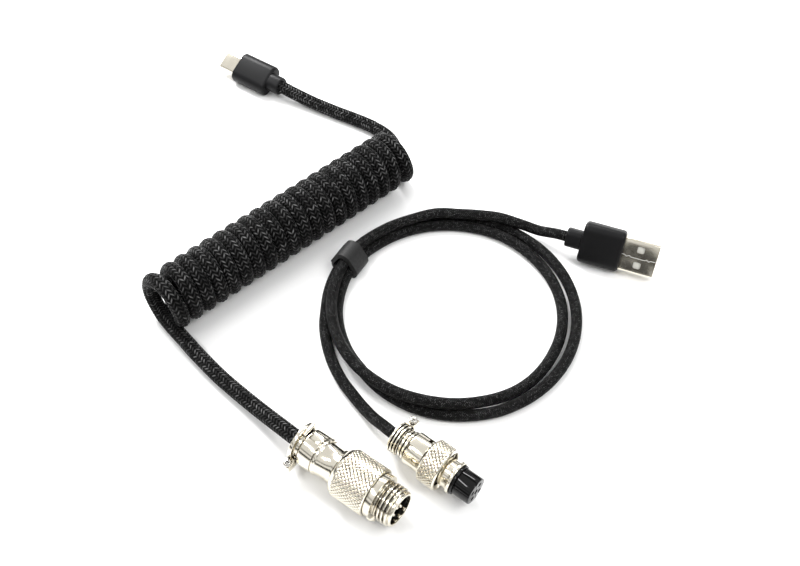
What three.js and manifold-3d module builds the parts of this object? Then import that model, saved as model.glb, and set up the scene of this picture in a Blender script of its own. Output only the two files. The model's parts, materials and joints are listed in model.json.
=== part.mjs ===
// A two-piece cable set for a keyboard, in millimetres, +Z up, lying on the plane z = 0.
// The coiled cable has a USB-C plug and a round socket with pins. The straight cable, laid in a loop with a
// strap, has the round plug that screws onto that socket, and a USB-A plug.
// Every plug is built along its own +Y axis, from the cable (y = 0) to its mating end, and then laid down.

import * as THREE from 'three';
import { mergeVertices } from 'three/addons/utils/BufferGeometryUtils.js';
import Module from 'manifold-3d';

const wasm = await Module();
wasm.setup();

// ---- driving dimensions -------------------------------------------------------------------------------

const GAP = 0.3; // clearance between neighbouring solids
const SIDES = 32; // sides of a turned piece
const CORNER = 5; // straight pieces in a rounded corner

const coil = {
  cable: 5.15, // braided cable's diameter
  radius: 8.15, // from the coil's axis to the middle of the cable
  length: 103.5, // from the first turn's middle to the last one's
  start: [-78.4, -17.5], // the axis above the first turn
  angle: 42.5, // degrees from +X
};

const loop = {
  cable: 3.9,
  centre: [17.2, -12.9],
  inner: 35.6,
  outer: 44.3,
  bottom: 1.5, // the strap passes under the loop
  top: 7.3,
};

// The round pair: a 12 mm thread of 1 mm pitch, and five contacts, one of them in the middle.
const thread = { radius: 6.0, depth: 0.5, pitch: 1.0 };
const contacts = { circle: 2.4, around: 4, pin: 0.55, hole: 0.85, tube: 0.62 };

const socket = {
  length: 37.0,
  clamp: 2.6,
  seam: 8.0,
  grip: 15.5, // the knurled grip starts here
  band: 28.4, // and ends here
  threadStart: 31.3,
  gripRadius: 7.7,
  shellRadius: 6.0,
  mouth: 4.6,
  pin: [21.8, 36.1], mouthFloor: 28.4,
};

const plug = {
  length: 29.5,
  clamp: 3.5,
  shellEnd: 12.0,
  flange: 21.8,
  flangeEnd: 22.9,
  face: 23.9, // the black insulator's front part starts here
  insulator: 4.3,
  nutRadius: 6.9,
  nutStart: 12.6,
  nutEnd: 18.8,
};

const usbC = {
  shell: [8.34, 2.56],
  wall: 0.3,
  exposed: 8.2,
  body: [12.8, 6.8, 17.0],
  corner: 3.0,
  relief: [6.8, 5.5], // diameter and length
};

const usbA = {
  shell: [12.0, 4.5],
  wall: 0.35,
  exposed: 12.0,
  body: [14.6, 7.6, 14.6],
  corner: 2.5,
  relief: [6.2, 5.5],
  windows: [2.85, 5.6], // half their distance apart, and how far ahead of the body
};

// Where each plug's cable end lies (x, y and the height of its axis), its heading and its roll, in degrees.
const place = {
  socket: { at: [-29.4, -66.9, 7.7], heading: -36.9, roll: 0 },
  plug: { at: [-1.2, -64.6, 6.9], heading: -38.5, roll: 0 },
  usbC: { at: [-48.6, 99.6, 4.95], heading: 145, roll: -27 },
  usbA: { at: [58.7, 15.3, 7.35], heading: -21.1, roll: 60 },
};

// Routes of the free cable leads, chosen by hand, each from its plug to its coil.
const routes = {
  socketLead: [
    [-30.6, -66.0, 7.5], [-36.0, -61.0, 6.2], [-42.0, -55.2, 4.3], [-49.0, -48.6, 3.0], [-57.0, -41.2, 2.65],
    [-64.0, -34.0, 2.65], [-70.4, -26.8, 2.65],
  ],
  usbCLead: [
    [-48.3, 99.4, 4.95], [-44.0, 96.8, 4.3], [-36.5, 92.6, 3.2], [-27.1, 87.3, 2.7], [-18.5, 82.6, 2.65],
    [-10.5, 77.6, 2.65], [-4.4, 71.6, 2.65], [-1.6, 64.5, 2.65],
  ],
  plugLead: [
    [-1.5, -64.3, 6.9], [-4.6, -60.9, 5.9], [-8.4, -56.2, 3.6], [-12.0, -51.2, 2.2], [-15.4, -46.4, 2.0],
  ],
  usbALead: [
    [58.4, 15.4, 7.35], [55.4, 17.0, 6.8], [52.2, 18.9, 5.6], [49.6, 20.7, 4.5],
  ],
};

const strap = { angle: 150, width: 8.5, thick: 1.1, room: 0.35 };

// The middle of the plugs' box on the plane, which becomes the part's origin.
const middle = [7.2, 13.4];

// ---- materials ----------------------------------------------------------------------------------------

const finish = (color, roughness, metalness) =>
  new THREE.MeshStandardMaterial({ color, roughness, metalness });
const nickel = finish(0xd9d3c2, 0.22, 1);
const steel = finish(0xb9b6ad, 0.3, 1);
const gold = finish(0xc9a24a, 0.3, 1);
const blackPlastic = finish(0x141414, 0.55, 0);
const whitePlastic = finish(0xd8d6cf, 0.5, 0);
const glossPlastic = finish(0x0a0a0b, 0.15, 0);
const coilBraid = finish(0x0d0d0e, 0.6, 0);
const loopBraid = finish(0x101011, 0.7, 0);
const strapCloth = finish(0x151515, 0.9, 0);
const boardGreen = finish(0x14502c, 0.5, 0);

// ---- shapes -------------------------------------------------------------------------------------------

const turn = THREE.MathUtils.degToRad;

/** The same faces, the right way out. */
function outward(geometry) {
  const g = geometry.index ? geometry.toNonIndexed() : geometry;
  const p = g.attributes.position;
  const [a, b, c] = [new THREE.Vector3(), new THREE.Vector3(), new THREE.Vector3()];
  let volume = 0;
  for (let i = 0; i < p.count; i += 3) {
    a.fromBufferAttribute(p, i);
    b.fromBufferAttribute(p, i + 1);
    c.fromBufferAttribute(p, i + 2);
    volume += a.dot(b.cross(c));
  }
  g.deleteAttribute('normal');
  g.deleteAttribute('uv');
  const merged = mergeVertices(g, 1e-5);
  if (volume < 0) merged.index.array.reverse();
  return merged;
}

const solidOf = (geometry) => {
  const g = outward(geometry);
  return new wasm.Manifold(new wasm.Mesh({
    numProp: 3,
    vertProperties: new Float32Array(g.attributes.position.array),
    triVerts: new Uint32Array(g.index.array),
  }));
};

function geometryOf(solid) {
  const m = solid.getMesh();
  const g = new THREE.BufferGeometry();
  g.setAttribute('position', new THREE.BufferAttribute(new Float32Array(m.vertProperties), 3));
  g.setIndex(new THREE.BufferAttribute(new Uint32Array(m.triVerts), 1));
  return g;
}

const cut = (whole, ...tools) =>
  geometryOf(tools.reduce((solid, tool) => solid.subtract(solidOf(tool)), solidOf(whole)));
const join = (...pieces) =>
  geometryOf(pieces.slice(1).reduce((solid, piece) => solid.add(solidOf(piece)), solidOf(pieces[0])));

/** A turned piece about +Y, from its [radius, y] outline. A ring's outline closes on itself. */
function turned(outline, { ring = false, sides = SIDES } = {}) {
  const points = outline.map(([r, y]) => new THREE.Vector2(r, y));
  if (ring) points.push(points[0].clone());
  return outward(new THREE.LatheGeometry(points, sides));
}

const rod = (radius, y0, y1, sides = 16) =>
  turned([[0, y0], [radius, y0], [radius, y1], [0, y1]], { sides });

/** A slot, pad or block: its size, and the place of its middle. */
const block = (size, middleAt) => new THREE.BoxGeometry(...size).translate(...middleAt);

/** A rectangle with round corners, in X and Z, from y0 to y1. */
function roundedBar([width, height], radius, y0, y1, soften = 0) {
  const [w, h] = [width / 2 - soften, height / 2 - soften];
  const r = Math.min(radius, w, h) - 0.001;
  const shape = new THREE.Shape();
  shape.moveTo(r - w, -h);
  shape.lineTo(w - r, -h);
  shape.absarc(w - r, r - h, r, -Math.PI / 2, 0, false);
  shape.lineTo(w, h - r);
  shape.absarc(w - r, h - r, r, 0, Math.PI / 2, false);
  shape.lineTo(r - w, h);
  shape.absarc(r - w, h - r, r, Math.PI / 2, Math.PI, false);
  shape.lineTo(-w, r - h);
  shape.absarc(r - w, r - h, r, Math.PI, Math.PI * 1.5, false);
  const long = y1 - y0 - 2 * soften;
  const bar = new THREE.ExtrudeGeometry(shape, {
    depth: long,
    curveSegments: CORNER,
    bevelEnabled: soften > 0,
    bevelThickness: soften,
    bevelSize: soften,
    bevelSegments: 2,
  });
  return outward(bar.rotateX(Math.PI / 2).translate(0, y1 - soften, 0));
}

/** A cable along a smooth route. */
function cable(route, diameter, sides) {
  const circle = new THREE.Shape();
  for (let i = 0; i < sides; i += 1) {
    const a = (2 * Math.PI * i) / sides;
    const [x, y] = [(diameter / 2) * Math.cos(a), (diameter / 2) * Math.sin(a)];
    if (i === 0) circle.moveTo(x, y);
    else circle.lineTo(x, y);
  }
  const path = new THREE.CatmullRomCurve3(route.map((p) => new THREE.Vector3(...p)));
  const steps = Math.round(path.getLength() / (2 * diameter));
  return outward(new THREE.ExtrudeGeometry(circle, { extrudePath: path, steps, curveSegments: 1 }));
}

const part = (name, geometry, material) => {
  const mesh = new THREE.Mesh(geometry, material);
  mesh.name = name;
  return mesh;
};

/** Lays a plug down: its +Y axis to the heading, after a roll about that axis. */
function laid({ at, heading, roll }, pieces) {
  const group = new THREE.Group();
  group.rotation.set(0, turn(roll), turn(heading - 90), 'ZYX');
  group.position.set(...at);
  group.add(...pieces);
  return group;
}

/** The [x, z] places of the round pair's five contacts. */
function contactPlaces() {
  const places = [[0, 0]];
  for (let i = 0; i < contacts.around; i += 1) {
    const a = turn(45 + (360 / contacts.around) * i);
    places.push([contacts.circle * Math.cos(a), contacts.circle * Math.sin(a)]);
  }
  return places;
}

/** Thread crests between two places along the axis, as an outline. */
function crests(y0, y1, root, crest) {
  const points = [];
  for (let y = y0; y + thread.pitch <= y1 + 0.01; y += thread.pitch) {
    points.push([root, y], [crest, y + thread.pitch / 2]);
  }
  points.push([root, y1]);
  return points;
}

/** A pan-head screw along Z, with its head at the top. */
function screw(x, y, z, length, radius = 0.8, head = 1.35) {
  const outline = [[0, -length], [radius, -length], [radius, 0], [head, 0], [head, 0.7], [0, 1.0]];
  return turned(outline, { sides: 16 }).rotateX(Math.PI / 2).translate(x, y, z);
}

// ---- the round socket with pins, on the coiled cable -----------------------------------------------------

function socketPieces() {
  const s = socket;
  const hole = coil.cable / 2 + GAP;
  const r = s.shellRadius;
  const grip = s.gripRadius;
  const seat = 5.0;
  const body = turned([
    [5.2, s.grip], [grip - 1.2, s.grip], [grip, s.grip + 1.2], [grip, s.band - 0.3], [grip - 0.3, s.band],
    [6.6, s.band], [6.6, s.threadStart - 0.6], [thread.radius - thread.depth, s.threadStart - 0.6],
    ...crests(s.threadStart, s.length - 0.7, thread.radius - thread.depth, thread.radius),
    [5.6, s.length], [s.mouth, s.length], [s.mouth, s.mouthFloor], [seat, s.mouthFloor], [seat, 22],
    [5.2, 22],
  ], { ring: true });
  const keyways = [200, 250, 300].map((a) => {
    const key = block([1.3, 4, 1.0], [0, s.length - 1.9, s.mouth]);
    return key.applyMatrix4(new THREE.Matrix4().makeRotationY(turn(a)));
  });
  const tab = new THREE.CylinderGeometry(1.5, 1.5, 1.2, 16).rotateZ(Math.PI / 2)
    .translate(-6.55, s.band + 1.45, 0);
  const [lugX, lugTop] = [7.9, -0.4];
  const lug = block([4.0, s.clamp, 3.4], [lugX - 0.5, s.clamp / 2, lugTop - 1.7]);
  const ring = turned([[hole, 0], [r + 0.3, 0], [r + 0.3, s.clamp], [hole, s.clamp]], { ring: true });
  const screwHole = rod(1.05, -8, 8).rotateX(Math.PI / 2).translate(lugX, s.clamp / 2, 0);
  const clampSlot = block([3.4, 1.2, 3], [-2.2, s.clamp / 2, r]);
  const shell = turned([
    [3.2, s.clamp + GAP], [r, s.clamp + GAP], [r, s.seam], [r - 0.3, s.seam], [r - 0.3, s.seam + 0.35],
    [r - 0.1, s.seam + 0.35], [r - 0.4, s.grip - GAP], [4.8, s.grip - GAP], [4.8, s.grip + 3.5],
    [3.2, s.grip + 3.5],
  ], { ring: true });
  const holes = contactPlaces().map(([x, z]) => rod(contacts.hole, 20, 30, 12).translate(x, 0, z));
  const [pinBack, pinTip] = s.pin;
  const shank = contacts.pin;
  const pin = [[0, pinBack], [shank, pinBack], [shank, pinTip - 0.5], [shank - 0.2, pinTip], [0, pinTip]];
  return [
    part('socket_body', join(cut(body, ...keyways), tab), nickel),
    part('socket_insulator', cut(rod(4.7, 25, s.mouthFloor - 0.2, SIDES), ...holes), glossPlastic),
    part('socket_retaining_ring',
      turned([[3.9, 23.6], [4.7, 23.6], [4.7, 24.7], [3.9, 24.7]], { ring: true }), steel),
    ...contactPlaces().map(([x, z], i) =>
      part(`socket_pin_${i + 1}`, turned(pin, { sides: 12 }).translate(x, 0, z), nickel)),
    part('socket_rear_shell', shell, nickel),
    part('socket_clamp', cut(join(ring, lug), screwHole, clampSlot), nickel),
    part('socket_clamp_screw', screw(lugX, s.clamp / 2, lugTop + GAP, 4.4), steel),
  ];
}

// ---- the round plug with sockets, on the straight cable ---------------------------------------------------

function plugPieces() {
  const p = plug;
  const hole = loop.cable / 2 + GAP;
  const ribs = [[hole, 0], [4.6, 0]];
  for (let y = 0.3; y < p.clamp - 0.6; y += 1.0) {
    ribs.push([4.9, y], [4.9, y + 0.5], [4.3, y + 0.5], [4.3, y + 1.0]);
  }
  ribs.push([4.6, p.clamp], [hole, p.clamp]);
  const [lugX, lugTop] = [-6.1, 2.4];
  const lug = block([3.4, p.clamp, 2.4], [lugX + 0.4, p.clamp / 2, lugTop - 1.2]);
  const screwHole = rod(0.95, -8, 8).rotateX(Math.PI / 2).translate(lugX, p.clamp / 2, 0);
  const shell = turned([
    [2.4, p.clamp + GAP], [4.4, p.clamp + GAP], [4.4, 4.6], [4.0, 4.6], [4.0, 5.1], [4.7, 5.1], [4.7, 5.9],
    [4.2, 5.9], [4.2, 6.3], [5.3, 6.3], [5.3, p.shellEnd], [3.6, p.shellEnd], [3.6, 14.4], [2.4, 14.4],
  ], { ring: true });
  const sleeve = turned([
    [3.9, p.shellEnd + GAP], [4.5, p.shellEnd + GAP], [4.5, p.flange], [5.3, p.flange], [5.3, p.flangeEnd],
    [3.9, p.flangeEnd],
  ], { ring: true });
  const insulator = rod(p.insulator, p.face, p.length, SIDES);
  const neck = rod(3.6, 15, p.face + 0.1, SIDES);
  const holes = contactPlaces().map(([x, z]) => rod(contacts.hole, 14, 31, 12).translate(x, 0, z));
  const groove = block([1.2, 6, 0.9], [0, p.length - 2.6, p.insulator]);
  const tube = [[0.35, 14.8], [contacts.tube, 14.8], [contacts.tube, 28.9], [0.35, 28.9]];
  return [
    part('plug_clamp', cut(join(turned(ribs, { ring: true }), lug), screwHole), nickel),
    part('plug_clamp_screw', screw(lugX, p.clamp / 2, lugTop + GAP, 3.4, 0.7, 1.15), steel),
    part('plug_rear_shell', shell, nickel),
    part('plug_sleeve', sleeve, nickel),
    part('plug_seal_ring', turned([
      [3.9, p.flangeEnd + 0.15], [4.9, p.flangeEnd + 0.15], [4.9, p.face - 0.15], [3.9, p.face - 0.15],
    ], { ring: true }), blackPlastic),
    part('plug_insulator', cut(join(insulator, neck), groove, ...holes), glossPlastic),
    ...contactPlaces().map(([x, z], i) =>
      part(`plug_contact_${i + 1}`, turned(tube, { ring: true, sides: 12 }).translate(x, 0, z), gold)),
  ];
}

/** The coupling nut, and the split ring in its groove that keeps it behind the sleeve's flange. */
function nutPieces() {
  const p = plug;
  const bore = thread.radius - thread.depth;
  const groove = [p.nutStart + 0.7, p.nutStart + 2.1];
  const nut = turned([
    [bore, p.nutStart], [p.nutRadius - 0.4, p.nutStart], [p.nutRadius, p.nutStart + 0.4],
    [p.nutRadius, p.nutEnd - 0.4], [p.nutRadius - 0.4, p.nutEnd], [bore + 0.5, p.nutEnd],
    ...crests(groove[1] + 0.5, p.nutEnd - 0.4, bore, bore + 0.5).reverse(),
    [bore, groove[1]], [5.95, groove[1]], [5.95, groove[0]], [bore, groove[0]],
  ], { ring: true });
  const shape = new THREE.Shape();
  const [inner, outer, half] = [4.75, 5.65, turn(14)];
  shape.absarc(0, 0, outer, half, 2 * Math.PI - half, false);
  shape.absarc(0, 0, inner, 2 * Math.PI - half, half, true);
  const ring = new THREE.ExtrudeGeometry(shape, { depth: 0.8, bevelEnabled: false, curveSegments: 18 });
  return [
    part('coupling_nut', nut, nickel),
    part('nut_retaining_ring', outward(ring.rotateX(-Math.PI / 2).translate(0, groove[0] + GAP, 0)), steel),
  ];
}

// ---- the USB plugs ----------------------------------------------------------------------------------------

/** A comb of flat contact fingers that point along +Y, on a bar behind them. */
function comb(count, step, finger, thick, y0, y1, z) {
  const bar = block([(count - 1) * step + finger, 0.8, thick], [0, y0, z]);
  const fingers = [];
  for (let i = 0; i < count; i += 1) {
    const x = (i - (count - 1) / 2) * step;
    fingers.push(block([finger, y1 - y0, thick], [x, (y0 + y1) / 2, z]));
  }
  return join(bar, ...fingers);
}

function usbCPieces() {
  const c = usbC;
  const [width, height] = c.shell;
  const front = c.relief[1] + c.body[2];
  const tip = front + c.exposed;
  const back = front - 4.5;
  const inside = [width - 2 * c.wall, height - 2 * c.wall];
  const pocket = roundedBar([width + 2 * GAP, height + 2 * GAP], 1.6, front - 12, front + 1);
  const body = roundedBar(c.body, c.corner, c.relief[1], front, 0.5);
  const shell = cut(
    roundedBar(c.shell, height / 2, back, tip),
    roundedBar(inside, inside[1] / 2, back - 1, tip + 1),
  );
  const liner = cut(
    roundedBar([inside[0] - 0.3, inside[1] - 0.3], 0.75, back + 1, tip - 0.6),
    block([inside[0] - 0.9, 9.6, 0.86], [0, tip - 4.8, 0]),
  );
  const r = c.relief[0] / 2;
  const reliefEnd = c.relief[1] - GAP;
  const relief = turned([[0, 0], [r - 0.35, 0], [r - 0.1, 0.4], [r, reliefEnd], [0, reliefEnd]]);
  return [
    part('usb_c_shell', shell, nickel),
    part('usb_c_liner', liner, blackPlastic),
    ...[1, -1].map((side) => part(side > 0 ? 'usb_c_contacts_upper' : 'usb_c_contacts_lower',
      comb(12, 0.5, 0.26, 0.14, tip - 8.6, tip - 2.2, side * 0.3), gold)),
    part('usb_c_circuit_board', block([7.2, 5.4, 0.8], [0, back - 3.6, 0]), boardGreen),
    part('usb_c_body', cut(body, pocket), blackPlastic),
    part('usb_c_strain_relief', relief, blackPlastic),
  ];
}

function usbAPieces() {
  const c = usbA;
  const [width, height] = c.shell;
  const front = c.relief[1] + c.body[2];
  const tip = front + c.exposed;
  const back = front - 6.5;
  const inside = [width - 2 * c.wall, height - 2 * c.wall];
  const pocket = roundedBar([width + 2 * GAP, height + 2 * GAP], 0.8, front - 9.5, front + 1);
  const windows = [-1, 1].map((side) =>
    block([2.5, 2.3, 9], [side * c.windows[0], front + c.windows[1], 0]));
  const shell = cut(
    roundedBar(c.shell, 0.6, back, tip),
    roundedBar(inside, 0.3, back - 1, tip + 1),
    ...windows,
  );
  const tongueThick = 1.8;
  const tongueZ = inside[1] / 2 - 0.15 - tongueThick / 2; // behind the windows of the seam's face
  const tongueAt = [0, (tip + back) / 2 + 0.2, tongueZ];
  const tongue = block([inside[0] - 0.3, tip - back - 1.2, tongueThick], tongueAt);
  const strips = [-3.5, -1.0, 1.0, 3.5].map((x, i) => {
    const long = i === 0 || i === 3 ? 7.6 : 6.6;
    const z = tongueZ - tongueThick / 2 - 0.2;
    return part(`usb_a_contact_${i + 1}`, block([1.1, long, 0.2], [x, tip - 1.2 - long / 2, z]), gold);
  });
  const r = c.relief[0] / 2;
  const reliefEnd = c.relief[1] - GAP;
  const relief = turned([[0, 0], [r - 0.5, 0], [r - 0.2, 0.4], [r, reliefEnd], [0, reliefEnd]]);
  return [
    part('usb_a_shell', shell, nickel),
    part('usb_a_tongue', tongue, whitePlastic),
    ...strips,
    part('usb_a_body', cut(roundedBar(c.body, c.corner, c.relief[1], front, 0.6), pocket), blackPlastic),
    part('usb_a_strain_relief', relief, blackPlastic),
  ];
}

// ---- the cables -------------------------------------------------------------------------------------------

/** The coil as one solid of its outer diameter, lying on the plane. */
function coilSolid() {
  const r = coil.radius + coil.cable / 2;
  const end = coil.cable / 2;
  const solid = turned([[0, -end], [r, -end], [r, coil.length + end], [0, coil.length + end]]);
  return solid.rotateZ(turn(coil.angle - 90)).translate(coil.start[0], coil.start[1], r);
}

/** The loop's turns as one ring. */
function loopSolid() {
  const [i, o, b, t] = [loop.inner, loop.outer, loop.bottom, loop.top];
  const ring = turned([
    [i, b + 1], [i + 1, b], [o - 1, b], [o, b + 1], [o, t - 2], [o - 2, t], [i + 2, t], [i, t - 2],
  ], { ring: true, sides: 48 });
  return ring.rotateX(Math.PI / 2).translate(...loop.centre, 0);
}

/** The strap: a closed band round the loop's turns. */
function strapSolid() {
  const wide = loop.outer - loop.inner + 2 * strap.room;
  const high = loop.top - loop.bottom + 2 * strap.room;
  const half = strap.width / 2;
  const t = 2 * strap.thick;
  const band = cut(
    roundedBar([wide + t, high + t], 2.4, -half, half),
    roundedBar([wide, high], 1.6, -half - 1, half + 1),
  );
  const r = (loop.inner + loop.outer) / 2;
  const a = turn(strap.angle);
  return band.rotateZ(a).translate(
    loop.centre[0] + r * Math.cos(a),
    loop.centre[1] + r * Math.sin(a),
    (loop.bottom + loop.top) / 2,
  );
}

// ---- the whole set ----------------------------------------------------------------------------------------

const group = new THREE.Group();
group.add(
  laid(place.socket, socketPieces()),
  part('coil_lead_at_socket', cable(routes.socketLead, coil.cable, 10), coilBraid),
  part('coil', coilSolid(), coilBraid),
  part('coil_lead_at_usb_c', cable(routes.usbCLead, coil.cable, 10), coilBraid),
  laid(place.usbC, usbCPieces()),
  laid(place.plug, [...plugPieces(), ...nutPieces()]),
  part('loop_lead_at_plug', cable(routes.plugLead, loop.cable, 8), loopBraid),
  part('loop', loopSolid(), loopBraid),
  part('loop_lead_at_usb_a', cable(routes.usbALead, loop.cable, 8), loopBraid),
  part('cable_strap', strapSolid(), strapCloth),
  laid(place.usbA, usbAPieces()),
);
group.position.set(-middle[0], -middle[1], 0);

export default group;
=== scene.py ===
"""A coiled keyboard cable and its straight companion cable: the looks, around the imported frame.

Drawing sizes are in millimetres, as in the part's own source, and become metres in spot() and in a
piece's mesh.
"""

import json
import math

import bpy
import bmesh
import numpy as np
from mathutils import Matrix, Vector


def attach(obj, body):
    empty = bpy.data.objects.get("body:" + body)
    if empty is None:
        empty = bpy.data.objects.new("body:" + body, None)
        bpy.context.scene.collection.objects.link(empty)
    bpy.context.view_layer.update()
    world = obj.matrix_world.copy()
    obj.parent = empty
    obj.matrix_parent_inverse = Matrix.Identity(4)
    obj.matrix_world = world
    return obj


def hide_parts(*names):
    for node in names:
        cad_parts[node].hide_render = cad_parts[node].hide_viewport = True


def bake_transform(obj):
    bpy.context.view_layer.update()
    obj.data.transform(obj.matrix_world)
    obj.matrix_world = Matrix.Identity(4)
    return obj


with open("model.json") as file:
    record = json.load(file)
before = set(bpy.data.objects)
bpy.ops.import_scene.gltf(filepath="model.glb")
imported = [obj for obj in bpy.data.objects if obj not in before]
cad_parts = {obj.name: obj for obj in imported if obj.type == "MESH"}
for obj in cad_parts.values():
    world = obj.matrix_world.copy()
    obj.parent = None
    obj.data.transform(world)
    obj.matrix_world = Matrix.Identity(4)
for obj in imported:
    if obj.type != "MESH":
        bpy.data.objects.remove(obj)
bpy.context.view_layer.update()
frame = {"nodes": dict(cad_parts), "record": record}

MM = 0.001
GAP = 0.3
MIDDLE = (7.2, 13.4)  # the drawing's point that lies at the frame's origin

COIL = {"cable": 5.15, "radius": 8.15, "length": 103.5, "start": (-78.4, -17.5), "angle": 42.5, "turns": 20}
LOOP = {"cable": 3.9, "centre": (17.2, -12.9), "outer": 42.3, "inner": 38.3, "upper": 40.3}
PLACE = {
    "socket": {"at": (-29.4, -66.9, 7.7), "heading": -36.9, "roll": 0},
    "plug": {"at": (-1.2, -64.6, 6.9), "heading": -38.5, "roll": 0},
    "usb_c": {"at": (-48.6, 99.6, 4.95), "heading": 145, "roll": -27},
    "usb_a": {"at": (58.7, 15.3, 7.35), "heading": -21.1, "roll": 60},
}
STRAP = {"angle": 150.0, "width": 8.5, "thick": 0.75, "end_thick": 0.6, "slack": 0.15, "edge": 0.15}
STRAP_FACETS = 96  # round its section
STRAP_END = (4, 66)  # the facets that its end lies over
STRAP_LIFT = 1.25  # the strands rise by this where the strap passes under them

# ---- the camera ---------------------------------------------------------------------------------------

PITCH = math.radians(51)
FOCUS = (0.0, 0.0, 0.0)  # the drawing's point in the middle of the picture
DISTANCE = 0.3312
FOCAL, SENSOR = 42.75, 36.0


def spot(x, y, z=0.0):
    """A point of the drawing, in the frame's metres."""
    return Vector(((x - MIDDLE[0]) * MM, (y - MIDDLE[1]) * MM, z * MM))


def camera():
    data = bpy.data.cameras.new("camera")
    data.lens, data.sensor_width = FOCAL, SENSOR
    data.clip_start, data.clip_end = 0.005, 20
    eye = bpy.data.objects.new("camera", data)
    back = Vector((0, -math.cos(PITCH), math.sin(PITCH)))
    eye.location = spot(*FOCUS) + back * DISTANCE
    eye.rotation_euler = (math.pi / 2 - PITCH, 0, 0)
    bpy.context.collection.objects.link(eye)
    bpy.context.scene.camera = eye


# ---- node helpers --------------------------------------------------------------------------------------


class Nodes:
    """Short calls for a material's node tree."""

    def __init__(self, name):
        self.material = bpy.data.materials.new(name)
        self.material.use_nodes = True
        self.tree = self.material.node_tree
        self.shader = self.tree.nodes["Principled BSDF"]

    def add(self, kind, **settings):
        node = self.tree.nodes.new(kind)
        for key, value in settings.items():
            setattr(node, key, value)
        return node

    def put(self, socket, value):
        if isinstance(value, bpy.types.NodeSocket):
            self.tree.links.new(value, socket)
        else:
            socket.default_value = value

    def math(self, operation, a, b=0.0):
        node = self.add("ShaderNodeMath", operation=operation)
        self.put(node.inputs[0], a)
        self.put(node.inputs[1], b)
        return node.outputs[0]

    def ramp(self, factor, stops):
        node = self.add("ShaderNodeValToRGB")
        self.put(node.inputs["Fac"], factor)
        ramp = node.color_ramp
        while len(ramp.elements) < len(stops):
            ramp.elements.new(0.5)
        for element, (place, value) in zip(ramp.elements, stops):
            element.position = place
            colour = value if isinstance(value, tuple) else (value, value, value)
            element.color = (*colour, 1)
        return node.outputs["Color"]

    def noise(self, scale, detail=3.0, where="Object"):
        node = self.add("ShaderNodeTexNoise")
        node.inputs["Scale"].default_value = scale
        node.inputs["Detail"].default_value = detail
        self.put(node.inputs["Vector"], self.add("ShaderNodeTexCoord").outputs[where])
        return node.outputs["Fac"]

    def bump(self, height, distance, strength=1.0):
        node = self.add("ShaderNodeBump")
        node.inputs["Strength"].default_value = strength
        node.inputs["Distance"].default_value = distance
        self.put(node.inputs["Height"], height)
        self.put(self.shader.inputs["Normal"], node.outputs["Normal"])

    def set(self, **values):
        for key, value in values.items():
            self.put(self.shader.inputs[key.replace("_", " ").title().replace("Ior", "IOR")], value)
        return self.material


def metal(name, colour, rough, grain=0.00001):
    """Plated metal: faint clouding in the polish, fine handling marks, and painted shade that darkens its
    narrow places towards black.
    """
    n = Nodes(name)
    cloud = n.noise(220, 4)
    fine = n.noise(2600, 2)
    unshaded_plating = n.ramp(cloud, [(0.3, tuple(c * 0.93 for c in colour)), (0.7, colour)])
    # painted shade: the base colour is darkened towards black wherever ambient occlusion finds the surface
    # closed in, as in knurl pits, thread roots and seams
    nook = n.add("ShaderNodeAmbientOcclusion", samples=6)
    nook.inputs["Distance"].default_value = 0.0009
    painted_crevice_shade = [(0.42, (0.012, 0.01, 0.008)), (0.7, (0.42, 0.40, 0.36)), (0.9, 1.0)]
    mix = n.add("ShaderNodeMix", data_type="RGBA", blend_type="MULTIPLY")
    mix.inputs["Factor"].default_value = 1.0
    n.put(mix.inputs["A"], unshaded_plating)
    n.put(mix.inputs["B"], n.ramp(nook.outputs["AO"], painted_crevice_shade))
    n.put(n.shader.inputs["Base Color"], mix.outputs["Result"])
    n.put(n.shader.inputs["Metallic"], 1.0)
    n.put(n.shader.inputs["Roughness"], n.ramp(cloud, [(0.3, rough * 0.7), (0.75, rough * 1.5)]))
    n.bump(fine, grain, 0.35)
    return n.material


def plastic(name, colour, rough, grain=0.00003, scale=2200, painted_glint=0.22):
    """Moulded plastic with a fine sparked grain."""
    n = Nodes(name)
    speck = n.noise(scale, 3)
    n.put(n.shader.inputs["Base Color"],
          n.ramp(n.noise(90, 3), [(0.35, tuple(c * 0.8 for c in colour)), (0.7, colour)]))
    n.put(n.shader.inputs["Roughness"], n.ramp(speck, [(0.3, rough * 0.85), (0.7, min(1.0, rough * 1.15))]))
    n.put(n.shader.inputs["Specular IOR Level"], painted_glint)
    n.bump(speck, grain, 0.6)
    return n.material


# a braid: columns round the cable, metres from strand to strand, how far a strand rises, and the tube's mesh
COIL_BRAID = {"columns": 12, "pitch": 0.00125, "rise": 0.00022, "sides": 36, "step": 0.00043}
LOOP_BRAID = {"columns": 24, "pitch": 0.0007, "rise": 0.00007, "sides": 24, "step": 0.00040}
BRAID_SLOPE = 0.9  # how much of a pitch a strand travels while it crosses its column


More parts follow.
